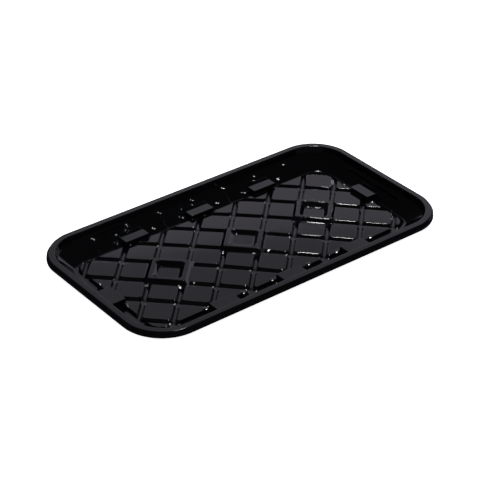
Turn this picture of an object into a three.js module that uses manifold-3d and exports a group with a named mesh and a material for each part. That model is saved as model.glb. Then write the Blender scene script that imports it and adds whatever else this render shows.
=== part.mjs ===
// Food tray: one thin sheet of formed black plastic, open at the top.
//
// Millimetres, +Z up. The origin is on the surface the tray rests on, under the middle of the tray,
// with X along its length. The far long side is +Y. The shape is written as the space inside the
// tray: a basin with drafted walls, less all that rises from its floor. The same shape made one
// sheet thickness larger is the outside, and the sheet is what lies between the two. At the end the
// middle of the floor is raised a little, because a formed floor crowns as it cools.

import * as THREE from 'three';
import { TessellateModifier } from 'three/addons/modifiers/TessellateModifier.js';
import * as BufferGeometryUtils from 'three/addons/utils/BufferGeometryUtils.js';
import Module from 'manifold-3d';

// ---- the sheet, and the heights of its upper face ----
const SHEET = 0.7;                                  // thickness of the formed sheet
const FLOOR_Z = SHEET;                              // bottom of the drainage channels
const PAD_Z = FLOOR_Z + 3.1;                        // tops of the raised pads
const BOSS_Z = PAD_Z + 3.7;                         // tops of the three square bosses
const PIT_Z = [PAD_Z - 0.7, PAD_Z + 0.8, PAD_Z - 1];     // floors of their pits, left to right
const LUG_Z = PAD_Z + 4.4;                          // flat tops of the lugs along the walls
const RISER_Z = PAD_Z + 10;                         // where the panelled wall meets the steep riser
const RIM_Z = PAD_Z + 17;                           // flat flange on top

// ---- plan sizes, as half lengths and half widths ----
const RIM = { x: 186.7, y: 102, r: 43.5 };          // outer edge of the flat flange
const FLANGE = 6.6;                                 // its width
const RISER_FOOT = { x: 178.5, y: 93, r: 35 };
const WALL_FOOT = { x: 164, y: 73.5, r: 19 };
const PAD_FIELD = { x: 157.7, y: 69.6, r: 14 };     // outline of the field of pads, at their tops
const PAD_FIELD_DRAFT = 0.7;                        // how much wider that outline is at their feet

// ---- crown of the floor ----
const CROWN = 1.5;                                  // how far the middle of the floor is raised
const CROWN_REACH = { x: 157, y: 70 };              // half sizes of the raised part
const CROWN_SPAN = 45;                              // longest edge that is left unsplit under it

// ---- skirt that hangs from the flange ----
const LIP_DROP = 2.4;                               // first drop, below the flange
const LIP_LEAN = 0.4;                               // how far that drop leans out
const LEDGE = 1.3;                                  // narrow ledge half way down
const SKIRT_DROP = 6;                               // whole height of the skirt
const SKIRT_LEAN = 0.3;                             // lean of its last drop

// ---- lattice of channels, at 45 degrees to the sides ----
const PITCH = 33;                                   // from one channel to the next
const CHANNEL_TOP = 6.4;                            // width between two pads' tops
const CHANNEL_FOOT = 3.8;                           // width between their feet
const PAD_CORNER = 3;                               // corner radius of a pad, in plan
const LATTICE_SHIFT = { x: 1.5, y: 2.7 };           // the forming tool's floor sits a little off centre
const LATTICE_REACH = 6;                            // pads counted each way from the middle one

// ---- square bosses, each with a square pit, turned with the lattice ----
const BOSS_STEP = PITCH * 2 * Math.SQRT2;           // they stand on every second pad of the long axis
const BOSS_HALF = 18.2;                             // half of a side, at the top
const BOSS_DRAFT = 9.3;                             // how much wider each side is at its root
const BOSS_CORNER = 2.5;
const PIT_HALF = 14.6;                              // half of the pit's mouth
const PIT_DRAFT = 4.4;                              // how much narrower its floor is
const PIT_CORNER = 3;

// ---- lugs that stand out of the walls ----
const LUG_STEP = 82.4;                              // from one lug to the next on a long side
const LUG_HALF = 14.3;                              // half of a long side's lug, along the wall
const END_LUG_HALF = 13.5;                          // half of an end lug
const LUG_DRAFT = 1.5;                              // how much longer a lug is at its foot
const LUG_LEAN = 1;                                 // how far its inner face slopes
const LUG_FACE = { x: 154.2, y: 68.1 };             // inner faces of the lugs, at their tops
const LUG_CORNER = 1.5;
const LUG_BACK = 24;                                // how far a lug runs back into the wall

// ---- upright panels pressed into the sloping walls ----
const PANEL_STEP = 41.2;                            // width of a panel
const PANEL_DEPTH = 1.3;                            // how far every second one is pressed outwards
const PANEL_DRAFT = 0.7;                            // slope of a panel's upright edges
const PANEL_TOP_SHARE = 0.4;                        // its depth at the top, as a share of that at the foot
const PANEL_TOP_GAP = 1;                            // how far below the riser it ends
const PANEL_ROOT = 4;                               // how far its prism reaches back into the basin

const QUARTER = Math.PI / 2;
const HIGH = 12;                                    // how far the basin is carried above the rim
const RIM_ROOT = 1;                                 // how far the flange's ring reaches into the wall
const CURVE_STEPS = { wide: 7, field: 5, small: 2 };   // straight steps in a quarter turn

// ---- from three.js geometry to exact solids, and back ----
const wasm = await Module();
wasm.setup();

function solid(geometry) {
  geometry.deleteAttribute('normal');
  geometry.deleteAttribute('uv');
  const merged = BufferGeometryUtils.mergeVertices(geometry, 1e-5);
  return new wasm.Manifold(new wasm.Mesh({
    numProp: 3,
    vertProperties: new Float32Array(merged.attributes.position.array),
    triVerts: new Uint32Array(merged.index.array),
  }));
}

function geometryOf(manifold) {
  const mesh = manifold.getMesh();
  const geometry = new THREE.BufferGeometry();
  geometry.setAttribute('position', new THREE.BufferAttribute(mesh.vertProperties, 3));
  geometry.setIndex(new THREE.BufferAttribute(mesh.triVerts, 1));
  geometry.computeVertexNormals();
  return geometry;
}

const joined = (solids) => solids.reduce((all, next) => all.add(next));

// ---- outlines: a rectangle with round corners, as one ring of points ----
function roundedRectangle(halfX, halfY, radius, steps) {
  const [x, y] = [halfX - radius, halfY - radius];
  const path = new THREE.Path();
  path.absarc(x, y, radius, 0, QUARTER);
  path.absarc(-x, y, radius, QUARTER, 2 * QUARTER);
  path.absarc(-x, -y, radius, 2 * QUARTER, 3 * QUARTER);
  path.absarc(x, -y, radius, 3 * QUARTER, 4 * QUARTER);
  return path.curves.filter((curve) => curve.type === 'EllipseCurve').flatMap((arc) => arc.getPoints(steps));
}

// A skin through rings of equally many points. An open stack of rings gets a lid at both ends,
// and a closed one, such as a rim's section, runs on from its last ring to its first.
function skin(rings, closed = false) {
  const count = rings[0].points.length;
  const positions = [];
  for (const { points, z } of rings) {
    for (const point of points) positions.push(point.x, point.y, z);
  }
  const faces = [];
  const bands = closed ? rings.length : rings.length - 1;
  for (let band = 0; band < bands; band += 1) {
    const [low, high] = [band * count, ((band + 1) % rings.length) * count];
    for (let i = 0; i < count; i += 1) {
      const next = (i + 1) % count;
      faces.push(low + i, low + next, high + next, low + i, high + next, high + i);
    }
  }
  if (!closed) {
    const top = (rings.length - 1) * count;
    for (const [a, b, c] of THREE.ShapeUtils.triangulateShape(rings[0].points, [])) faces.push(c, b, a);
    for (const [a, b, c] of THREE.ShapeUtils.triangulateShape(rings.at(-1).points, [])) {
      faces.push(top + a, top + b, top + c);
    }
  }
  const geometry = new THREE.BufferGeometry();
  geometry.setAttribute('position', new THREE.Float32BufferAttribute(positions, 3));
  geometry.setIndex(faces);
  return geometry;
}

// A block whose four sides slope: half sizes and corner radius at its foot and at its top.
const ringOf = (steps) => ({ x, y, r, z }) => ({ points: roundedRectangle(x, y, r, steps), z });

function draftedBlock(foot, top) {
  return skin([foot, top].map(ringOf(CURVE_STEPS.small)));
}

// ---- the basin ----
// Its section, from the floor up to the flange. Grown by a sheet thickness, every line of the
// section moves out square to itself, so each corner moves along the bisector of its two lines.
const WALL_SECTION = [
  { ...WALL_FOOT, z: FLOOR_Z },
  { ...RISER_FOOT, z: RISER_Z },
  { x: RIM.x - FLANGE, y: RIM.y - FLANGE, r: RIM.r - FLANGE, z: RIM_Z },
];

function slope(from, to, axis) {
  return Math.atan2(to.z - from.z, to[axis] - from[axis]);
}

function grownCorner(before, after, grow) {
  const turn = (after - before) / 2;
  const reach = grow / Math.cos(turn);
  const middle = (before + after) / 2;
  return { out: reach * Math.sin(middle), down: reach * Math.cos(middle) };
}

function basinRings(grow) {
  const [foot, shoulder, edge] = WALL_SECTION;
  const corner = (axis) => {
    const wall = slope(foot, shoulder, axis);
    const riser = slope(shoulder, edge, axis);
    return [grownCorner(0, wall, grow), grownCorner(wall, riser, grow), { out: grow / Math.sin(riser), down: 0 }];
  };
  const [alongX, alongY] = [corner('x'), corner('y')];
  return WALL_SECTION.map((level, i) => ({
    x: level.x + alongX[i].out,
    y: level.y + alongY[i].out,
    r: level.r + (alongX[i].out + alongY[i].out) / 2,
    z: level.z - alongY[i].down,
  }));
}

function basin(grow, topZ) {
  const rings = basinRings(grow);
  const edge = rings[2];
  return skin([...rings, { ...edge, z: topZ }].map(ringOf(CURVE_STEPS.wide)));
}

// One pressed panel: a prism along the wall, whose section is a band as deep as the panel.
function panelPrism(from, to, axis, side, grow) {
  const [foot, shoulder] = basinRings(grow);
  const start = from - grow;
  const end = to + grow;
  const mid = (start + end) / 2;
  const half = (end - start) / 2;
  const place = (along, reach) => (axis === 'y'
    ? new THREE.Vector2(mid + along, reach * side)
    : new THREE.Vector2(reach * side, mid + along));
  const ring = ([near, far], z, inset) => {
    const span = half - inset;
    const points = [place(-span, near), place(span, near), place(span, far), place(-span, far)];
    return { z, points: THREE.ShapeUtils.isClockWise(points) ? points.reverse() : points };
  };
  const band = (edge, depth) => [edge[axis] - PANEL_ROOT, edge[axis] + depth];
  const low = ring(band(foot, PANEL_DEPTH), foot.z, 0);
  const high = ring(band(shoulder, PANEL_DEPTH * PANEL_TOP_SHARE), shoulder.z - PANEL_TOP_GAP, PANEL_DRAFT);
  return solid(skin([low, high]));
}

function panels(grow) {
  const prisms = [];
  for (const side of [1, -1]) {
    // Pressed and plain panels take turns, and the far and near sides are each other turned about.
    for (const i of [-3, -1, 1]) {
      const [from, to] = [i * PANEL_STEP, (i + 1) * PANEL_STEP];
      prisms.push(panelPrism(side > 0 ? from : -to, side > 0 ? to : -from, 'y', side, grow));
    }
    prisms.push(panelPrism(side > 0 ? -PANEL_STEP : 0, side > 0 ? 0 : PANEL_STEP, 'x', side, grow));
  }
  return prisms;
}

// ---- what rises from the floor ----
// Each of these stands on the floor and shrinks by the sheet thickness for the underside.
const BASE_Z = FLOOR_Z - 3;

function padField(shrink) {
  const top = { x: PAD_FIELD.x - shrink, y: PAD_FIELD.y - shrink, r: PAD_FIELD.r, z: PAD_Z - shrink };
  const foot = { ...top, x: top.x + PAD_FIELD_DRAFT, y: top.y + PAD_FIELD_DRAFT, z: FLOOR_Z - shrink };
  const base = { ...foot, z: BASE_Z };
  return solid(skin([base, foot, top].map(ringOf(CURVE_STEPS.field))));
}

function pad(column, row, shrink) {
  const square = (half, z) => ({ x: half, y: half, r: PAD_CORNER, z });
  const foot = (PITCH - CHANNEL_FOOT) / 2 - shrink;
  const top = (PITCH - CHANNEL_TOP) / 2 - shrink;
  const steps = [square(foot, BASE_Z), square(foot, FLOOR_Z - shrink), square(top, PAD_Z - shrink)];
  const geometry = skin(steps.map(ringOf(CURVE_STEPS.small)));
  geometry.translate(column * PITCH, row * PITCH, 0);
  geometry.rotateZ(Math.PI / 4);
  geometry.translate(LATTICE_SHIFT.x, LATTICE_SHIFT.y, 0);
  return solid(geometry);
}

function padPlaces() {
  const places = [];
  for (let column = -LATTICE_REACH; column <= LATTICE_REACH; column += 1) {
    for (let row = -LATTICE_REACH; row <= LATTICE_REACH; row += 1) {
      const x = (column - row) * PITCH * Math.SQRT1_2;
      const y = (column + row) * PITCH * Math.SQRT1_2;
      const inside = Math.abs(x) < PAD_FIELD.x + PITCH / 2 && Math.abs(y) < PAD_FIELD.y + PITCH / 2;
      if (inside) places.push([column, row]);
    }
  }
  return places;
}

function pads(shrink) {
  const field = padField(shrink);
  return joined(padPlaces().map(([column, row]) => pad(column, row, shrink))).intersect(field);
}

function boss(index, shrink) {
  const half = BOSS_HALF - shrink;
  const block = draftedBlock(
    { x: half + BOSS_DRAFT, y: half + BOSS_DRAFT, r: BOSS_CORNER, z: BASE_Z },
    { x: half, y: half, r: BOSS_CORNER, z: BOSS_Z - shrink },
  );
  const mouth = PIT_HALF + shrink;
  const floor = mouth - PIT_DRAFT;
  const pit = draftedBlock(
    { x: floor, y: floor, r: PIT_CORNER, z: PIT_Z[index + 1] - shrink },
    { x: mouth + PIT_DRAFT, y: mouth + PIT_DRAFT, r: PIT_CORNER, z: 2 * BOSS_Z - PIT_Z[index + 1] },
  );
  const x = LATTICE_SHIFT.x + index * BOSS_STEP;
  for (const geometry of [block, pit]) {
    geometry.rotateZ(Math.PI / 4);
    geometry.translate(x, LATTICE_SHIFT.y, 0);
  }
  return { block: solid(block), pit: solid(pit) };
}

function lug(along, half, axis, side, shrink) {
  const face = LUG_FACE[axis] + shrink;
  const [length, depth] = [half - shrink, LUG_BACK / 2];
  const size = axis === 'y' ? { x: length, y: depth } : { x: depth, y: length };
  const spread = axis === 'y' ? { x: LUG_DRAFT, y: LUG_LEAN } : { x: LUG_LEAN, y: LUG_DRAFT };
  const geometry = draftedBlock(
    { x: size.x + spread.x, y: size.y + spread.y, r: LUG_CORNER, z: BASE_Z },
    { ...size, r: LUG_CORNER, z: LUG_Z - shrink },
  );
  const middle = side * (face + depth);
  geometry.translate(axis === 'y' ? along : middle, axis === 'y' ? middle : along, 0);
  return solid(geometry);
}

function lugs(shrink) {
  const blocks = [];
  for (const side of [1, -1]) {
    for (const place of [-1, 0, 1]) blocks.push(lug(place * LUG_STEP, LUG_HALF, 'y', side, shrink));
    blocks.push(lug(0, END_LUG_HALF, 'x', side, shrink));
  }
  return blocks;
}

function risings(shrink) {
  const bosses = [-1, 0, 1].map((index) => boss(index, shrink));
  const blocks = joined([pads(shrink), ...bosses.map(({ block }) => block)]);
  const pits = joined(bosses.map(({ pit }) => pit));
  return joined([blocks.subtract(pits), ...lugs(shrink)]);
}

// ---- the flange and its skirt: one closed section, carried round the tray ----
function rim() {
  const out = (distance, z) => ({ x: RIM.x + distance, y: RIM.y + distance, r: RIM.r + distance, z });
  const steps = [
    out(-FLANGE - RIM_ROOT, RIM_Z - SHEET),
    out(-SHEET, RIM_Z - SHEET),
    out(LIP_LEAN - SHEET, RIM_Z - LIP_DROP - SHEET),
    out(LIP_LEAN + LEDGE - SHEET, RIM_Z - LIP_DROP - SHEET),
    out(LIP_LEAN + LEDGE + SKIRT_LEAN - SHEET, RIM_Z - SKIRT_DROP),
    out(LIP_LEAN + LEDGE + SKIRT_LEAN, RIM_Z - SKIRT_DROP),
    out(LIP_LEAN + LEDGE, RIM_Z - LIP_DROP),
    out(LIP_LEAN, RIM_Z - LIP_DROP),
    out(0, RIM_Z),
    out(-FLANGE - RIM_ROOT, RIM_Z),
  ];
  return solid(skin(steps.map(ringOf(CURVE_STEPS.wide)), true));
}

function traySheet() {
  const inside = joined([solid(basin(0, RIM_Z + HIGH)), ...panels(0)]).subtract(risings(0));
  const outside = joined([solid(basin(SHEET, RIM_Z)), ...panels(SHEET)]).subtract(risings(SHEET));
  return outside.add(rim()).subtract(inside);
}

// ---- the crown: every point is lifted by its place, so both faces of the sheet move alike ----
function crowned(geometry) {
  const split = new TessellateModifier(CROWN_SPAN).modify(geometry);
  split.deleteAttribute('normal');
  const merged = BufferGeometryUtils.mergeVertices(split, 1e-4);
  const position = merged.attributes.position;
  for (let i = 0; i < position.count; i += 1) {
    const alongX = Math.max(0, 1 - (position.getX(i) / CROWN_REACH.x) ** 2);
    const alongY = Math.max(0, 1 - (position.getY(i) / CROWN_REACH.y) ** 2);
    position.setZ(i, position.getZ(i) + CROWN * alongX * alongY);
  }
  merged.computeVertexNormals();
  return merged;
}

const blackPlastic = new THREE.MeshStandardMaterial({ color: 0x0b0b0d, roughness: 0.2, metalness: 0 });

const tray = new THREE.Mesh(crowned(geometryOf(traySheet())), blackPlastic);
tray.name = 'tray';

const part = new THREE.Group();
part.add(tray);

export default part;
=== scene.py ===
# %% [markdown]
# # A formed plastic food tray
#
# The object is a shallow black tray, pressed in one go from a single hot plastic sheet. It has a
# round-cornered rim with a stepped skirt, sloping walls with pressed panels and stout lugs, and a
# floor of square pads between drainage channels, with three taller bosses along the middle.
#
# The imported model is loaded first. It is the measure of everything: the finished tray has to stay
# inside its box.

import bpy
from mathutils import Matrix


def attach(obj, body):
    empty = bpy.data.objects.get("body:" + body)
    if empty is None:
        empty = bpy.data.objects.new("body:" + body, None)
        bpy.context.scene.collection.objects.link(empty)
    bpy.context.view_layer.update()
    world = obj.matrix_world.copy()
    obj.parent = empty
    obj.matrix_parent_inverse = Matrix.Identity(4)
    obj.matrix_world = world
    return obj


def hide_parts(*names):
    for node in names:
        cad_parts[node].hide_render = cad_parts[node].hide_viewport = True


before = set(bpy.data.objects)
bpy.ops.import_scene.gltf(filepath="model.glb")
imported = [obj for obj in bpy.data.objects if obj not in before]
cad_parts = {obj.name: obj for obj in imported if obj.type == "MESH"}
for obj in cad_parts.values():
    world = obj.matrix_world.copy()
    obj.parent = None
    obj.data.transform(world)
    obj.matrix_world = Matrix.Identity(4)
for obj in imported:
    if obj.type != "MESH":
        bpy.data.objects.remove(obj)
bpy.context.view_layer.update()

# %% Blender's modules, and the unit of the lengths below
import math

import bpy
from mathutils import Matrix, Vector

mm = 0.001

# %% [markdown]
# ## The sizes
#
# Heights are those of the sheet's upper face, which is the face that food touches and the eye
# sees. The sheet itself is added below that face at the end. The names and values are the packed
# model's own, so that the dressed tray lies where the plain one does.

# %% Heights
SHEET = 0.7 * mm
FLOOR_Z = SHEET
PAD_Z = FLOOR_Z + 3.1 * mm
BOSS_Z = PAD_Z + 3.7 * mm
PIT_Z = [PAD_Z - 0.7 * mm, PAD_Z + 0.8 * mm, PAD_Z - 1 * mm]
LUG_Z = PAD_Z + 4.4 * mm
RISER_Z = PAD_Z + 10 * mm
RIM_Z = PAD_Z + 17 * mm
CROWN, CROWN_X, CROWN_Y = 1.5 * mm, 157 * mm, 70 * mm
BASE_Z = FLOOR_Z - 3 * mm
HIGH_Z = RIM_Z + 10 * mm

# %% Outlines, as half length, half width and corner radius
RIM = (186.7 * mm, 102 * mm, 43.5 * mm)
FLANGE = 6.6 * mm
RISER_FOOT = (178.5 * mm, 93 * mm, 35 * mm)
WALL_FOOT = (164 * mm, 73.5 * mm, 19 * mm)
PAD_FIELD = (157.7 * mm, 69.6 * mm, 14 * mm)
PAD_FIELD_DRAFT = 0.7 * mm
LIP_DROP, LIP_LEAN, LEDGE = 2.4 * mm, 0.4 * mm, 1.3 * mm
SKIRT_DROP, SKIRT_LEAN = 6 * mm, 0.3 * mm

# %% Lattice, bosses, lugs and panels
PITCH = 33 * mm
CHANNEL_TOP, CHANNEL_FOOT = 6.4 * mm, 3.8 * mm
PAD_CORNER = 3 * mm
LATTICE_SHIFT = (1.5 * mm, 2.7 * mm)
BOSS_STEP = PITCH * 2 * math.sqrt(2)
BOSS_HALF, BOSS_DRAFT, BOSS_CORNER = 18.2 * mm, 9.3 * mm, 2.5 * mm
PIT_HALF, PIT_DRAFT, PIT_CORNER = 14.6 * mm, 4.4 * mm, 3 * mm
LUG_STEP, LUG_HALF, END_LUG_HALF = 82.4 * mm, 14.3 * mm, 13.5 * mm
LUG_FACE_X, LUG_FACE_Y = 154.2 * mm, 68.1 * mm
LUG_DRAFT, LUG_LEAN, LUG_CORNER, LUG_BACK = 1.5 * mm, 1 * mm, 1.5 * mm, 24 * mm
PANEL_STEP, PANEL_DEPTH, PANEL_DRAFT = 41.2 * mm, 1.3 * mm, 0.7 * mm
PANEL_TOP_SHARE, PANEL_TOP_GAP, PANEL_ROOT = 0.4, 1 * mm, 4 * mm

# %% [markdown]
# ## Small helpers for work in edit mode
#
# Every step below selects something and then runs an operator on it. Loading the model leaves it
# selected, and an operator works on all that is selected, so each step starts from nothing
# selected. Faces and edges are chosen in code, by where they are.

# %% Selecting, and entering and leaving edit mode
def only(*objects):
    bpy.ops.object.select_all(action="DESELECT")
    for item in objects:
        item.select_set(True)
    bpy.context.view_layer.objects.active = objects[0]


def edit(item, select="SELECT"):
    only(item)
    bpy.ops.object.mode_set(mode="EDIT")
    bpy.ops.mesh.select_mode(type="VERT")
    bpy.ops.mesh.select_all(action=select)


def done():
    bpy.ops.object.mode_set(mode="OBJECT")


def select_corners(item, wanted):
    """Selects, in edit mode, the corners whose place passes the test."""
    done()
    mesh = item.data
    mesh.polygons.foreach_set("select", [False] * len(mesh.polygons))
    mesh.edges.foreach_set("select", [False] * len(mesh.edges))
    mesh.vertices.foreach_set("select", [wanted(v.co) for v in mesh.vertices])
    bpy.ops.object.mode_set(mode="EDIT")
    bpy.ops.mesh.select_mode(type="VERT")


def apply_place(item):
    only(item)
    bpy.ops.object.transform_apply(location=True, rotation=True, scale=True)


# %% [markdown]
# ## A block with sloping sides
#
# Nearly everything on a forming tool is a block that narrows upwards, so that the cooled sheet
# can be lifted off. Such a block is made as a hand would make it: a plane at the foot's size,
# its four corners rounded with a vertex bevel, then extruded upwards and scaled at each level.
# Scaling can't give two levels corner radii of their own, so where they differ, the next helper
# bridges separate outlines instead.

# %% Tapered block: a rounded plate, extruded level by level
def rounded_plate(name, half_x, half_y, corner, z, segments):
    bpy.ops.object.select_all(action="DESELECT")
    bpy.ops.mesh.primitive_plane_add(size=2, location=(0, 0, z))
    plate = bpy.context.object
    plate.name = name
    edit(plate)
    bpy.ops.transform.resize(value=(half_x, half_y, 1), center_override=(0, 0, z))
    bpy.ops.mesh.bevel(affect="VERTICES", offset=corner, segments=segments)
    done()
    return plate


def tapered_block(name, foot, levels, corner, segments=5):
    """foot is (half x, half y, z) and so is each further level, going up."""
    half_x, half_y, z = foot
    block = rounded_plate(name, half_x, half_y, corner, z, segments)
    edit(block)
    for next_x, next_y, next_z in levels:
        bpy.ops.mesh.extrude_region_move(TRANSFORM_OT_translate={"value": (0, 0, next_z - z)})
        scale = (next_x / half_x, next_y / half_y, 1)
        bpy.ops.transform.resize(value=scale, center_override=(0, 0, next_z))
        half_x, half_y, z = next_x, next_y, next_z
    bpy.ops.mesh.select_all(action="SELECT")
    bpy.ops.mesh.normals_make_consistent(inside=False)
    done()
    apply_place(block)
    return block


def moved(item, x, y, quarter_turns=0.0):
    """Shifts an item's mesh, after turning it about its middle."""
    edit(item)
    if quarter_turns:
        bpy.ops.transform.rotate(value=quarter_turns * math.pi / 2, orient_axis="Z",
                                 center_override=(0, 0, 0))
    bpy.ops.transform.translate(value=(x, y, 0))
    done()
    return item


def copied(item, x, y):
    only(item)
    bpy.ops.object.duplicate(linked=False)
    twin = bpy.context.object
    return moved(twin, x, y)


# %% [markdown]
# ## A stack of bridged outlines
#
# The basin is wider at each level, and its corners are rounder too: a small radius at the floor
# and a large one at the rim. Here each level is its own rounded plate. Their faces are deleted,
# neighbouring outlines are joined with Bridge Edge Loops, and the two ends are filled.

# %% Stack of outlines
def outline_stack(name, levels, segments):
    """Each level is (half x, half y, corner radius, z), from the lowest to the highest."""
    plates = [rounded_plate(name, *level, segments) for level in levels]
    for plate in plates:
        apply_place(plate)
    only(*plates)
    bpy.ops.object.join()
    stack = bpy.context.object
    edit(stack)
    bpy.ops.mesh.delete(type="ONLY_FACE")
    heights = [level[3] for level in levels]
    at_height = lambda *wanted: lambda co: any(abs(co.z - z) < 1e-6 for z in wanted)
    for low, high in zip(heights, heights[1:]):
        select_corners(stack, at_height(low, high))
        bpy.ops.mesh.bridge_edge_loops()
    for end in (heights[0], heights[-1]):
        select_corners(stack, at_height(end))
        bpy.ops.mesh.edge_face_add()
    bpy.ops.mesh.select_all(action="SELECT")
    bpy.ops.mesh.normals_make_consistent(inside=False)
    done()
    return stack


# %% [markdown]
# ## Joining and cutting the blocks
#
# The Boolean modifier takes a whole collection at once, which is quicker than one block after
# another. The Manifold solver is exact on closed meshes, and all of these are closed.

# %% Boolean with a collection
def combine(target, others, operation):
    tools = bpy.data.collections.new("tools")
    bpy.context.scene.collection.children.link(tools)
    for other in others:
        for home in list(other.users_collection):
            home.objects.unlink(other)
        tools.objects.link(other)
    only(target)
    step = target.modifiers.new(operation.lower(), "BOOLEAN")
    step.operation, step.solver = operation, "MANIFOLD"
    step.operand_type, step.collection = "COLLECTION", tools
    bpy.ops.object.modifier_apply(modifier=step.name)
    for other in others:
        bpy.data.objects.remove(other)
    bpy.data.collections.remove(tools)
    return target


# %% [markdown]
# ## The basin of the forming tool
#
# A thin formed sheet is best made the way the real one is: build the solid tool it is drawn over,
# round every edge of that tool as hot plastic does, and then give its surface a thickness. The
# tool starts as a block with the rim's stepped edge outside, and the basin is cut out of it.

# %% Outer block with the stepped skirt
def outside(distance, z):
    half_x, half_y, corner = RIM
    return (half_x + distance, half_y + distance, corner + distance, z)


ROUND_STEPS = 24
step_out = LIP_LEAN + LEDGE
tool = outline_stack("formed_tray", [
    outside(step_out + SKIRT_LEAN, BASE_Z - 2 * mm),
    outside(step_out + SKIRT_LEAN, RIM_Z - SKIRT_DROP),
    outside(step_out, RIM_Z - LIP_DROP),
    outside(LIP_LEAN, RIM_Z - LIP_DROP + 0.01 * mm),
    outside(0, RIM_Z),
], ROUND_STEPS)
print("outer block:", len(tool.data.vertices), "corners")

# %% The basin's space, from the floor up past the rim
edge = tuple(size - FLANGE for size in RIM)
basin = outline_stack("basin", [
    (*WALL_FOOT, FLOOR_Z),
    (*RISER_FOOT, RISER_Z),
    (*edge, RIM_Z),
    (*edge, HIGH_Z),
], ROUND_STEPS)
print("basin:", len(basin.data.vertices), "corners")

# %% [markdown]
# ## Pressed panels in the walls
#
# Every second stretch of wall is pressed a little outwards. Each one is a block whose foot follows
# the wall's foot and whose top follows the wall's top, so it is a plate that is extruded upwards
# and shifted as it goes. The near side is the far side turned about.

# %% Wall panels
def wall_panel(start, end, side, along_x):
    axis = 1 if along_x else 0
    foot, shoulder = WALL_FOOT[axis], RISER_FOOT[axis]
    depth_half = (PANEL_ROOT + PANEL_DEPTH) / 2
    top_half = (PANEL_ROOT + PANEL_DEPTH * PANEL_TOP_SHARE) / 2
    half = (end - start) / 2
    size = lambda along, across, z: (along, across, z) if along_x else (across, along, z)
    top_z = RISER_Z - PANEL_TOP_GAP
    block = tapered_block("panel", size(half, depth_half, FLOOR_Z),
                          [size(half - PANEL_DRAFT, top_half, top_z)], 0.5 * mm, 2)
    edit(block, "DESELECT")
    select_corners(block, lambda co: co.z > RISER_Z / 2)
    lean = side * (shoulder - foot + top_half - depth_half)
    bpy.ops.transform.translate(value=(0, lean, 0) if along_x else (lean, 0, 0))
    done()
    across = side * (foot - PANEL_ROOT + depth_half)
    middle = (start + end) / 2
    return moved(block, middle, across) if along_x else moved(block, across, middle)


panels = []
for side in (1, -1):
    for step in (-3, -1, 1):
        start, end = sorted((side * step * PANEL_STEP, side * (step + 1) * PANEL_STEP))
        panels.append(wall_panel(start, end, side, along_x=True))
    start, end = sorted((-side * PANEL_STEP, 0))
    panels.append(wall_panel(start, end, side, along_x=False))
combine(basin, panels, "UNION")
combine(tool, [basin], "DIFFERENCE")
print("tool with its basin:", len(tool.data.vertices), "corners")

# %% [markdown]
# ## The floor of pads
#
# One pad is modelled and then copied over a lattice that stands at 45 degrees to the tray. Each
# copy has its own mesh. The whole field is then trimmed by one large block, which gives the
# three-cornered pads along the walls.

# %% One pad, with a hollow round its foot
def square(half, z):
    return (half, half, z)


# Each step is how far out from the pad's foot it lies, and how far above the channel.
FOOT_HOLLOW = [(1.1 * mm, 0), (0.55 * mm, 0.2 * mm), (0.15 * mm, 0.65 * mm), (-0.1 * mm, 1.3 * mm)]
pad_foot, pad_top = (PITCH - CHANNEL_FOOT) / 2, (PITCH - CHANNEL_TOP) / 2
steps = [square(pad_foot + out, FLOOR_Z + up) for out, up in FOOT_HOLLOW]
widest = pad_foot + FOOT_HOLLOW[0][0]
pad = tapered_block("pad", square(widest, BASE_Z), [*steps, square(pad_top, PAD_Z)], PAD_CORNER)
moved(pad, *LATTICE_SHIFT, quarter_turns=0.5)
print("one pad:", len(pad.data.vertices), "corners")

# %% Copies of the pad, trimmed to the field
LATTICE_REACH = 6
FIELD_STEPS = 12
places = []
diagonal = PITCH / math.sqrt(2)
for column in range(-LATTICE_REACH, LATTICE_REACH + 1):
    for row in range(-LATTICE_REACH, LATTICE_REACH + 1):
        x, y = (column - row) * diagonal, (column + row) * diagonal
        inside = abs(x) < PAD_FIELD[0] + PITCH / 2 and abs(y) < PAD_FIELD[1] + PITCH / 2
        if inside and (column, row) != (0, 0):
            places.append((x, y))
pads = [copied(pad, x, y) for x, y in places]
combine(pad, pads, "UNION")
field_x, field_y, field_corner = PAD_FIELD
field_foot = (field_x + PAD_FIELD_DRAFT, field_y + PAD_FIELD_DRAFT, field_corner)
field = outline_stack("field", [
    (*field_foot, BASE_Z - 1 * mm),
    (*field_foot, FLOOR_Z),
    (*PAD_FIELD, PAD_Z),
    (*PAD_FIELD, PAD_Z + 1 * mm),
], FIELD_STEPS)
combine(pad, [field], "INTERSECT")
print("pads:", len(places) + 1, "in the lattice")

# %% [markdown]
# ## Bosses, pits and lugs
#
# The bosses are wider and taller pads with a square pit in the top. The lugs are blocks that
# stand out of the walls and run back into them.

# %% Three bosses and their pits
bosses, pits = [], []
for index, pit_z in zip((-1, 0, 1), PIT_Z):
    x = LATTICE_SHIFT[0] + index * BOSS_STEP
    foot = square(BOSS_HALF + BOSS_DRAFT, BASE_Z)
    block = tapered_block("boss", foot, [square(BOSS_HALF, BOSS_Z)], BOSS_CORNER)
    bosses.append(moved(block, x, LATTICE_SHIFT[1], quarter_turns=0.5))
    pit_floor = square(PIT_HALF - PIT_DRAFT, pit_z)
    above_pit = square(PIT_HALF + PIT_DRAFT, 2 * BOSS_Z - pit_z)
    hollow = tapered_block("pit", pit_floor, [above_pit], PIT_CORNER)
    pits.append(moved(hollow, x, LATTICE_SHIFT[1], quarter_turns=0.5))
combine(pad, bosses, "UNION")
combine(pad, pits, "DIFFERENCE")
print("bosses:", len(bosses), "with", len(pits), "pits")

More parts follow.
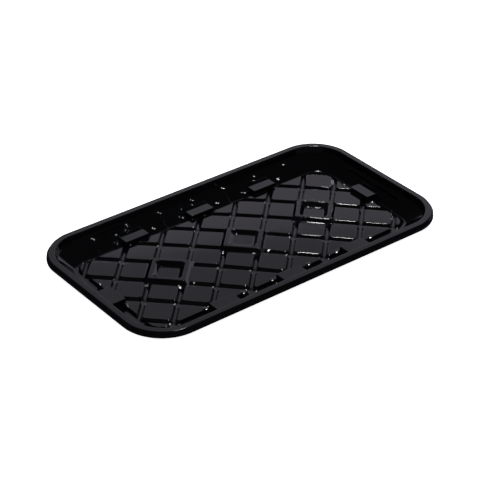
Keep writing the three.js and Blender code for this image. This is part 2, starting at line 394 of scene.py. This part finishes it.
# %% Lugs along the four walls
depth = LUG_BACK / 2
side_lug = tapered_block("side_lug", (LUG_HALF + LUG_DRAFT, depth + LUG_LEAN, BASE_Z),
                         [(LUG_HALF, depth, LUG_Z)], LUG_CORNER, 4)
end_lug = tapered_block("end_lug", (depth + LUG_LEAN, END_LUG_HALF + LUG_DRAFT, BASE_Z),
                        [(depth, END_LUG_HALF, LUG_Z)], LUG_CORNER, 4)
lugs = []
for side in (1, -1):
    for index in (-1, 0, 1):
        lugs.append(copied(side_lug, index * LUG_STEP, side * (LUG_FACE_Y + depth)))
lugs += [copied(end_lug, side * (LUG_FACE_X + depth), 0) for side in (1, -1)]
for pattern in (side_lug, end_lug):
    bpy.data.objects.remove(pattern)
combine(tool, [pad, *lugs], "UNION")
print("whole tool:", len(tool.data.vertices), "corners")

# %% [markdown]
# ## Small blisters
#
# Where a channel ends at a boss, beside the lugs and at the joints of the wall panels, the sheet
# bulges a little. A blister is at most a millimetre high, but it mirrors the lamp as a bright
# point, and a tray without those points looks dull. Each one is a flattened sphere, half sunk in
# the tool, whose top leans to the near corner.

# %% One blister
BLISTER_LEAN = math.radians(14)


def blister(x, y, z, half=2.8 * mm, height=0.75 * mm):
    bpy.ops.object.select_all(action="DESELECT")
    bpy.ops.mesh.primitive_uv_sphere_add(segments=20, ring_count=14, radius=1, location=(0, 0, 0))
    item = bpy.context.object
    item.scale = (half, half, height)
    apply_place(item)
    lean_axis = Vector((1, -1, 0)).normalized()
    item.matrix_world = Matrix.Translation((x, y, z)) @ Matrix.Rotation(BLISTER_LEAN, 4, lean_axis)
    apply_place(item)
    return item


# %% Blisters where the channels end at the bosses
def by_boss(index, along, across, z):
    """A blister placed along and across the lattice, from the middle of a boss."""
    x = LATTICE_SHIFT[0] + index * BOSS_STEP + (along + across) / math.sqrt(2)
    y = LATTICE_SHIFT[1] + (across - along) / math.sqrt(2)
    return blister(x, y, z)


near_z = PAD_Z - 1.2 * mm
blisters = []
for index in (-1, 0, 1):
    blisters.append(by_boss(index, -18.4 * mm, -24.6 * mm, near_z))
    blisters.append(by_boss(index, 14.4 * mm, -24.6 * mm, near_z))
for index in (-1, 0):
    blisters.append(by_boss(index, 26.2 * mm, -14.6 * mm, PAD_Z - 1.1 * mm))
    blisters.append(by_boss(index, 26.6 * mm, 18.6 * mm, PAD_Z - 1.6 * mm))
print("blisters by the bosses:", len(blisters))

# %% Blisters beside the lugs and on the far wall, and all of them joined to the tool
NEAR_LUG_BLISTERS = [(-101.6, -69.2), (-56.1, -69.6), (-19.7, -69.4),
                     (26.3, -69.6), (64.1, -69.2), (109.1, -69.6)]
END_LUG_BLISTERS = [(-157.3, 27.7), (-156.9, -17.9), (157.0, -18.5), (157.2, 26.5)]
for x, y in NEAR_LUG_BLISTERS:
    blisters.append(blister(x * mm, y * mm, PAD_Z - 0.4 * mm))
for x, y in END_LUG_BLISTERS:
    blisters.append(blister(x * mm, y * mm, PAD_Z - 0.3 * mm, half=2.5 * mm, height=1 * mm))


def on_far_wall(x, z):
    wall_slope = (RISER_FOOT[1] - WALL_FOOT[1]) / (RISER_Z - FLOOR_Z)
    return blister(x, WALL_FOOT[1] + wall_slope * (z - FLOOR_Z), z)


for step in range(-3, 4):
    blisters.append(on_far_wall(step * PANEL_STEP + 1 * mm, PAD_Z + 7.4 * mm))
for index in (-1, 0, 1):
    for x, z in ((-20 * mm, PAD_Z - 0.1 * mm), (-11 * mm, PAD_Z - 2.6 * mm), (26.4 * mm, PAD_Z)):
        blisters.append(on_far_wall(index * LUG_STEP + x, z))
combine(tool, blisters, "UNION")
print("blisters:", len(blisters))

# %% [markdown]
# ## Ledges of the end panels
#
# On the end walls the panels stop below the riser in a narrow ledge. It is a block nearly as long
# as a panel, let into the wall so that only its inner edge stands out.

# %% End ledges
LEDGE_Z = PAD_Z + 8 * mm
LEDGE_OUT, LEDGE_DEPTH, LEDGE_HEIGHT = 1.9 * mm, 3 * mm, 3 * mm
LEDGE_MIDDLE, LEDGE_HALF, LEDGE_SPREAD, LEDGE_CORNER = 21.6 * mm, 18.5 * mm, 0.6 * mm, 0.6 * mm
end_slope = (RISER_FOOT[0] - WALL_FOOT[0]) / (RISER_Z - FLOOR_Z)
wall_x = WALL_FOOT[0] + end_slope * (LEDGE_Z - FLOOR_Z)
ledges = []
for side in (1, -1):
    for middle in (-LEDGE_MIDDLE, LEDGE_MIDDLE):
        foot = (LEDGE_DEPTH, LEDGE_HALF + LEDGE_SPREAD, LEDGE_Z - LEDGE_HEIGHT)
        ledge = tapered_block("ledge", foot, [(LEDGE_DEPTH, LEDGE_HALF, LEDGE_Z)], LEDGE_CORNER, 2)
        ledges.append(moved(ledge, side * (wall_x - LEDGE_OUT + LEDGE_DEPTH), middle))
combine(tool, ledges, "UNION")
print("ledges:", len(ledges))

# %% [markdown]
# ## Softening every edge
#
# Hot plastic can't follow a sharp edge, so every edge of the tray has a radius of about half a
# millimetre. A bevel on so many crossing edges breaks easily. A voxel remesh turns the tool into
# an even net of small faces, and a Smooth modifier then rounds all edges by the same amount.

# %% Voxel remesh and smoothing
VOXEL = 0.45 * mm
SOFTENING = 2
only(tool)
remesh = tool.modifiers.new("even_net", "REMESH")
remesh.mode, remesh.voxel_size, remesh.adaptivity = "VOXEL", VOXEL, 0
bpy.ops.object.modifier_apply(modifier=remesh.name)
soften = tool.modifiers.new("soften", "SMOOTH")
soften.factor, soften.iterations = 0.5, SOFTENING
bpy.ops.object.modifier_apply(modifier=soften.name)
print("even net:", len(tool.data.polygons), "faces")

# %% [markdown]
# ## Rounder hollows
#
# A sheet that is drawn over a tool lies tight on its edges but doesn't reach into its hollows, so
# the foot of every wall is rounder than its upper edge. The hollows are found as the corners that
# lie below the middle of their neighbours. They go into a vertex group, and a second Smooth
# modifier works on that group alone.

# %% Reading the net into arrays
import numpy as np


def read_corners(mesh, what):
    values = np.empty(len(mesh.vertices) * 3)
    mesh.vertices.foreach_get(what, values)
    return values.reshape(-1, 3)


corners, normals = read_corners(tool.data, "co"), read_corners(tool.data, "normal")
ends = np.empty(len(tool.data.edges) * 2, dtype=np.int64)
tool.data.edges.foreach_get("vertices", ends)
one_end, other_end = ends.reshape(-1, 2).T
neighbours = np.bincount(ends, minlength=len(corners))


def neighbour_mean(values):
    """The mean of a value over each corner's neighbours."""
    total = np.bincount(one_end, values[other_end], len(corners))
    total += np.bincount(other_end, values[one_end], len(corners))
    return total / neighbours


print("net:", len(corners), "corners and", len(ends) // 2, "edges")

# %% Finding the hollows
HOLLOW_DEPTH = 0.004 * mm
WEIGHT_LEVELS = 8
EVEN_STEPS, FADE_STEPS = 3, 2
depth_below = sum(normals[:, i] * (neighbour_mean(corners[:, i]) - corners[:, i]) for i in range(3))
for _ in range(EVEN_STEPS):
    depth_below = neighbour_mean(depth_below)
weights = np.clip(depth_below / HOLLOW_DEPTH, 0, 1)
for _ in range(FADE_STEPS):
    weights = neighbour_mean(weights)
group = tool.vertex_groups.new(name="hollows")
levels = np.round(weights * WEIGHT_LEVELS).astype(int)
for level in range(1, WEIGHT_LEVELS + 1):
    group.add(np.flatnonzero(levels == level).tolist(), level / WEIGHT_LEVELS, "REPLACE")
print("hollows:", int((levels > 0).sum()), "of", len(corners), "corners")

# %% Rounding the hollows
HOLLOW_STEPS = 24
round_out = tool.modifiers.new("round_hollows", "SMOOTH")
round_out.factor, round_out.iterations, round_out.vertex_group = 0.5, HOLLOW_STEPS, group.name
bpy.ops.object.modifier_apply(modifier=round_out.name)
tool.vertex_groups.clear()
print("rounded in", HOLLOW_STEPS, "steps")

# %% [markdown]
# ## From tool to sheet
#
# Only the surface that the sheet touches is kept. The outer block is cut off level with the
# skirt's lower edge by a bisect, and what hangs below it is deleted.

# %% Where a face lies
def beyond_rim(points):
    """How far each point lies outside the flange's outer edge."""
    half_x, half_y, corner = RIM
    reach = np.abs(points[:, :2]) - np.array([half_x - corner, half_y - corner])
    return np.hypot(np.maximum(reach[:, 0], 0), np.maximum(reach[:, 1], 0)) - corner


def face_centres(mesh):
    centres = np.empty(len(mesh.polygons) * 3)
    mesh.polygons.foreach_get("center", centres)
    return centres.reshape(-1, 3)


def select_faces(item, chosen):
    """Selects, in edit mode, the faces that an array of yes and no names."""
    edit(item, "DESELECT")
    bpy.ops.mesh.select_mode(type="FACE")
    done()
    item.data.polygons.foreach_set("select", chosen)
    bpy.ops.object.mode_set(mode="EDIT")


# %% Cutting the surface free
OUTER_BAND = 3 * mm
CUT_HEADROOM = 2 * mm
skirt_z = RIM_Z - SKIRT_DROP
deep_z = FLOOR_Z - 1.5 * mm
centres = face_centres(tool.data)
outer = beyond_rim(centres) > -OUTER_BAND
select_faces(tool, outer & (centres[:, 2] < skirt_z + CUT_HEADROOM) & (centres[:, 2] >= deep_z))
bpy.ops.mesh.bisect(plane_co=(0, 0, skirt_z), plane_no=(0, 0, 1))
done()
centres = face_centres(tool.data)
outer = beyond_rim(centres) > -OUTER_BAND
select_faces(tool, (outer & (centres[:, 2] < skirt_z)) | (centres[:, 2] < deep_z))
bpy.ops.mesh.delete(type="FACE")
done()
print("surface:", len(tool.data.polygons), "faces")

# %% [markdown]
# ## The crown of the floor
#
# A formed floor doesn't cool flat: its middle stands about a millimetre and a half higher than its
# edges. It can't be felt, but in black gloss it decides which pads mirror the light. The net is
# still even here, so every corner is simply lifted by its place.

# %% Lifting the middle of the floor
corners = read_corners(tool.data, "co")
share_x = np.maximum(0, 1 - (corners[:, 0] / CROWN_X) ** 2)
share_y = np.maximum(0, 1 - (corners[:, 1] / CROWN_Y) ** 2)
lift = CROWN * share_x * share_y
corners[:, 2] += lift
tool.data.vertices.foreach_set("co", corners.ravel())
tool.data.update()
print("crown:", round(float(lift.max() / mm), 2), "mm in the middle")

# %% [markdown]
# ## Fewer faces, and even shading
#
# The flat stretches need few faces, so a Decimate modifier thins the net, and Solidify gives the
# sheet its thickness on the lower side. Thinning leaves large faces beside small ones. A Weighted
# Normal modifier lets the large ones decide the shading, so that flats mirror evenly right up to
# their rounded edges.

# %% Thinning the net and giving it a thickness
SURFACE_FACES = 96000
only(tool)
thin = tool.modifiers.new("fewer_faces", "DECIMATE")
thin.ratio = min(1, SURFACE_FACES / (2 * len(tool.data.polygons)))
bpy.ops.object.modifier_apply(modifier=thin.name)
thicken = tool.modifiers.new("sheet", "SOLIDIFY")
thicken.thickness, thicken.offset = SHEET, -1
bpy.ops.object.modifier_apply(modifier=thicken.name)
print("sheet:", len(tool.data.polygons), "faces")

# %% Smooth shading, weighted by the faces' areas
only(tool)
bpy.ops.object.shade_smooth()
shading = tool.modifiers.new("even_shading", "WEIGHTED_NORMAL")
shading.mode, shading.weight, shading.keep_sharp = "FACE_AREA", 50, False
bpy.ops.object.modifier_apply(modifier=shading.name)
print("weighted normals:", tool.data.has_custom_normals)

# %% [markdown]
# ## Black gloss plastic
#
# The sheet is black all through and mirror-smooth, so nearly all that is seen of it is reflected
# light. Its colour is almost nothing. What makes it look real is in the gloss: a faint waviness
# where the sheet cooled, slightly duller patches, and very fine grain. All three are noise that is
# read in Object coordinates, which are metres here.

# %% A little class for node expressions
class Wire:
    """An output socket. Arithmetic on it adds Math nodes, and node() adds any other kind."""

    def __init__(self, tree, socket=None):
        self.tree, self.socket = tree, socket

    def node(self, kind, settings=None, inputs=None, output=0):
        node = self.tree.nodes.new(kind)
        for name, value in (settings or {}).items():
            if name == "stops":
                ramp = node.color_ramp
                while len(ramp.elements) < len(value):
                    ramp.elements.new(0.5)
                for element, (place, colour) in zip(ramp.elements, value):
                    element.position, element.color = place, colour
            else:
                setattr(node, name, value)
        for name, value in (inputs or {}).items():
            if isinstance(value, Wire):
                self.tree.links.new(value.socket, node.inputs[name])
            else:
                node.inputs[name].default_value = value
        return Wire(self.tree, node.outputs[output]) if len(node.outputs) else node

    def math(self, operation, *values):
        return self.node("ShaderNodeMath", {"operation": operation}, dict(enumerate(values)))

    def __add__(self, other):
        return self.math("ADD", self, other)

    def __radd__(self, other):
        return self.math("ADD", other, self)

    def __sub__(self, other):
        return self.math("SUBTRACT", self, other)

    def __rsub__(self, other):
        return self.math("SUBTRACT", other, self)

    def __mul__(self, other):
        return self.math("MULTIPLY", self, other)

    def __rmul__(self, other):
        return self.math("MULTIPLY", other, self)

    def __truediv__(self, other):
        return self.math("DIVIDE", self, other)


def empty_material(name):
    material = bpy.data.materials.new(name)
    material.use_nodes = True
    material.node_tree.nodes.clear()
    return material, Wire(material.node_tree)


# %% The plastic
def noise(wire, place, scale, detail=2.0, roughness=0.5):
    return wire.node("ShaderNodeTexNoise", {"noise_dimensions": "3D"},
                     {"Vector": place, "Scale": scale, "Detail": detail, "Roughness": roughness})


DEEP_BLACK, WORN_BLACK = (0.0012, 0.0012, 0.0018, 1), (0.0020, 0.0020, 0.0027, 1)
plastic, wire = empty_material("black_gloss_plastic")
place = wire.node("ShaderNodeTexCoord", output="Object")
patches = noise(wire, place, 14)
grain = noise(wire, place, 900, 3)
waves = noise(wire, place, 22, 1)
tint = wire.node("ShaderNodeValToRGB", {"stops": [(0.3, DEEP_BLACK), (0.7, WORN_BLACK)]}, {"Fac": patches})
bumps = wire.node("ShaderNodeBump", {}, {"Strength": 0.06, "Distance": 0.4 * mm, "Height": waves})
fine = wire.node("ShaderNodeBump", {},
                 {"Strength": 0.05, "Distance": 0.02 * mm, "Height": grain, "Normal": bumps})
surface = wire.node("ShaderNodeBsdfPrincipled", {}, {
    "Base Color": tint, "Roughness": 0.04 + 0.03 * patches, "IOR": 1.5, "Normal": fine})
wire.node("ShaderNodeOutputMaterial", {}, {"Surface": surface})
tool.data.materials.clear()
tool.data.materials.append(plastic)
print("material:", plastic.name, "with", len(plastic.node_tree.nodes), "nodes")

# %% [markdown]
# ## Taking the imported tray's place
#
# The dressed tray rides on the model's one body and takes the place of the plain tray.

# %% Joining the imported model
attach(tool, "root")
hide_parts("tray")

# %% [markdown]
# ## The camera
#
# Its place was worked out from the tray's outline and lattice: it looks down at 32 degrees over
# the tray's near left corner, from 1.7 metres away with a long lens.

# %% Camera
PHOTO_SIZE = 480
FOCAL_PIXELS = 1693.19
AZIMUTH, ELEVATION, ROLL = math.radians(51.436), math.radians(32.31), math.radians(0.507)
DISTANCE = 1710.9 * mm
TARGET = Vector((0.92 * mm, 7.66 * mm, PAD_Z))

level = math.cos(ELEVATION)
forward = Vector((level * math.cos(AZIMUTH), level * math.sin(AZIMUTH), -math.sin(ELEVATION)))
level_right = forward.cross(Vector((0, 0, 1))).normalized()
level_up = level_right.cross(forward)
right = math.cos(ROLL) * level_right + math.sin(ROLL) * level_up
up = math.cos(ROLL) * level_up - math.sin(ROLL) * level_right
camera_data = bpy.data.cameras.new("camera")
camera_data.sensor_fit, camera_data.sensor_width = "HORIZONTAL", 36
camera_data.lens = camera_data.sensor_width * FOCAL_PIXELS / PHOTO_SIZE
camera_data.clip_start, camera_data.clip_end = 0.01, 50
camera = bpy.data.objects.new("camera", camera_data)
bpy.context.scene.collection.objects.link(camera)
placing = Matrix((right, up, -forward)).transposed().to_4x4()
placing.translation = TARGET - forward * DISTANCE
camera.matrix_world = placing
bpy.context.scene.camera = camera
print("camera at", [round(value, 3) for value in placing.translation], "lens", round(camera_data.lens, 1))

# %% [markdown]
# ## Floor, backdrop and lights
#
# The floor is plain and nearly white. The tray doesn't mirror it, because a white floor in black
# gloss would wash out the walls. What the flat faces do mirror is a soft curved backdrop behind
# the tray, bright near the table and dark higher up: that gives the pads their grey, lighter
# towards the back. It is narrow, so that faces turned aside stay black. A low card at its right
# lights the slopes of the bosses, and a very weak one on the near side keeps the shape readable
# from behind. A small key light gives the sparkles and the thin white lines.

# %% Floor
bpy.ops.object.select_all(action="DESELECT")
bpy.ops.mesh.primitive_plane_add(size=6, location=(0, 0, -0.2 * mm))
floor = bpy.context.object
floor.name = "floor"
apply_place(floor)
paper, wire = empty_material("pale_floor")
place = wire.node("ShaderNodeTexCoord", output="Object")
paper_noise = noise(wire, place, 3)
paper_stops = [(0.3, (0.90, 0.90, 0.90, 1)), (0.7, (0.93, 0.93, 0.93, 1))]
paper_tint = wire.node("ShaderNodeValToRGB", {"stops": paper_stops}, {"Fac": paper_noise})
surface = wire.node("ShaderNodeBsdfPrincipled", {}, {
    "Base Color": paper_tint, "Roughness": 0.9, "Specular IOR Level": 0,
    "Emission Color": (1, 1, 1, 1), "Emission Strength": 1.0})
wire.node("ShaderNodeOutputMaterial", {}, {"Surface": surface})
floor.data.materials.append(paper)
floor.visible_glossy = False
print("floor:", floor.name)


# %% Curved backdrop
CARD_DISTANCE = 4.0
COOL_WHITE = (1.0, 0.965, 1.10)


def backdrop(name, azimuth, width, low, high, stops):
    """A strip of a sphere round the tray. stops are pairs of elevation in degrees and brightness."""
    columns, rows, distance = 16, 24, CARD_DISTANCE
    bpy.ops.object.select_all(action="DESELECT")
    bpy.ops.mesh.primitive_grid_add(x_subdivisions=columns, y_subdivisions=rows, size=1, location=(0, 0, 0))
    card = bpy.context.object
    card.name = name
    for corner in card.data.vertices:
        turn = math.radians(azimuth + width * corner.co.x)
        rise = math.radians(low + (high - low) * (corner.co.y + 0.5))
        corner.co = (distance * math.cos(rise) * math.cos(turn), distance * math.cos(rise) * math.sin(turn),
                     distance * math.sin(rise))
    material, wire = empty_material(name)
    place = wire.node("ShaderNodeTexCoord", output="Object")
    height = wire.node("ShaderNodeSeparateXYZ", {}, {"Vector": place}, output="Z") / distance
    share = (height.math("ARCSINE", height) - math.radians(low)) / math.radians(high - low)
    tinted = [(angle, (*(level * part for part in COOL_WHITE), 1)) for angle, level in stops]
    colours = [((angle - low) / (high - low), colour) for angle, colour in tinted]
    glow = wire.node("ShaderNodeValToRGB", {"stops": colours}, {"Fac": share})
    light = wire.node("ShaderNodeEmission", {}, {"Color": glow, "Strength": 1.0})
    wire.node("ShaderNodeOutputMaterial", {}, {"Surface": light})
    card.data.materials.append(material)
    card.visible_camera = card.visible_diffuse = card.visible_shadow = False


SKY = [(0, 0.53), (29, 0.52), (31, 0.49), (33, 0.36), (36, 0.35), (38.5, 0.36), (42, 0.03), (60, 0.02)]
backdrop("backdrop", azimuth=46, width=58, low=0, high=60, stops=SKY)
backdrop("low_card", azimuth=4, width=36, low=-2, high=14, stops=[(-2, 0.5), (14, 0.5)])
backdrop("far_side_card", azimuth=220, width=160, low=3, high=32, stops=[(3, 0.06), (32, 0.06)])
print("backdrop levels:", SKY)


# %% Lights
def area_light(name, azimuth, elevation, distance, width, depth, power, glossy):
    turn, rise = math.radians(azimuth), math.radians(elevation)
    towards = Vector((math.cos(rise) * math.cos(turn), math.cos(rise) * math.sin(turn), math.sin(rise)))
    data = bpy.data.lights.new(name, "AREA")
    data.shape, data.size, data.size_y, data.energy = "RECTANGLE", width, depth, power
    light = bpy.data.objects.new(name, data)
    bpy.context.scene.collection.objects.link(light)
    light.location = towards * distance
    light.rotation_mode = "QUATERNION"
    light.rotation_quaternion = towards.to_track_quat("Z", "Y")
    light.visible_glossy = glossy
    print("light:", name, power, "W")


area_light("overhead", azimuth=0, elevation=88, distance=2.5, width=2.0, depth=2.0, power=30, glossy=False)
area_light("key", azimuth=40.5, elevation=64.5, distance=2.0, width=0.16, depth=0.22, power=14, glossy=True)

# %% World and view
world = bpy.data.worlds.new("room")
bpy.context.scene.world = world
world.use_nodes = True
world.node_tree.nodes["Background"].inputs["Color"].default_value = (0.020, 0.0195, 0.0205, 1)
bpy.context.scene.view_settings.view_transform = "Standard"
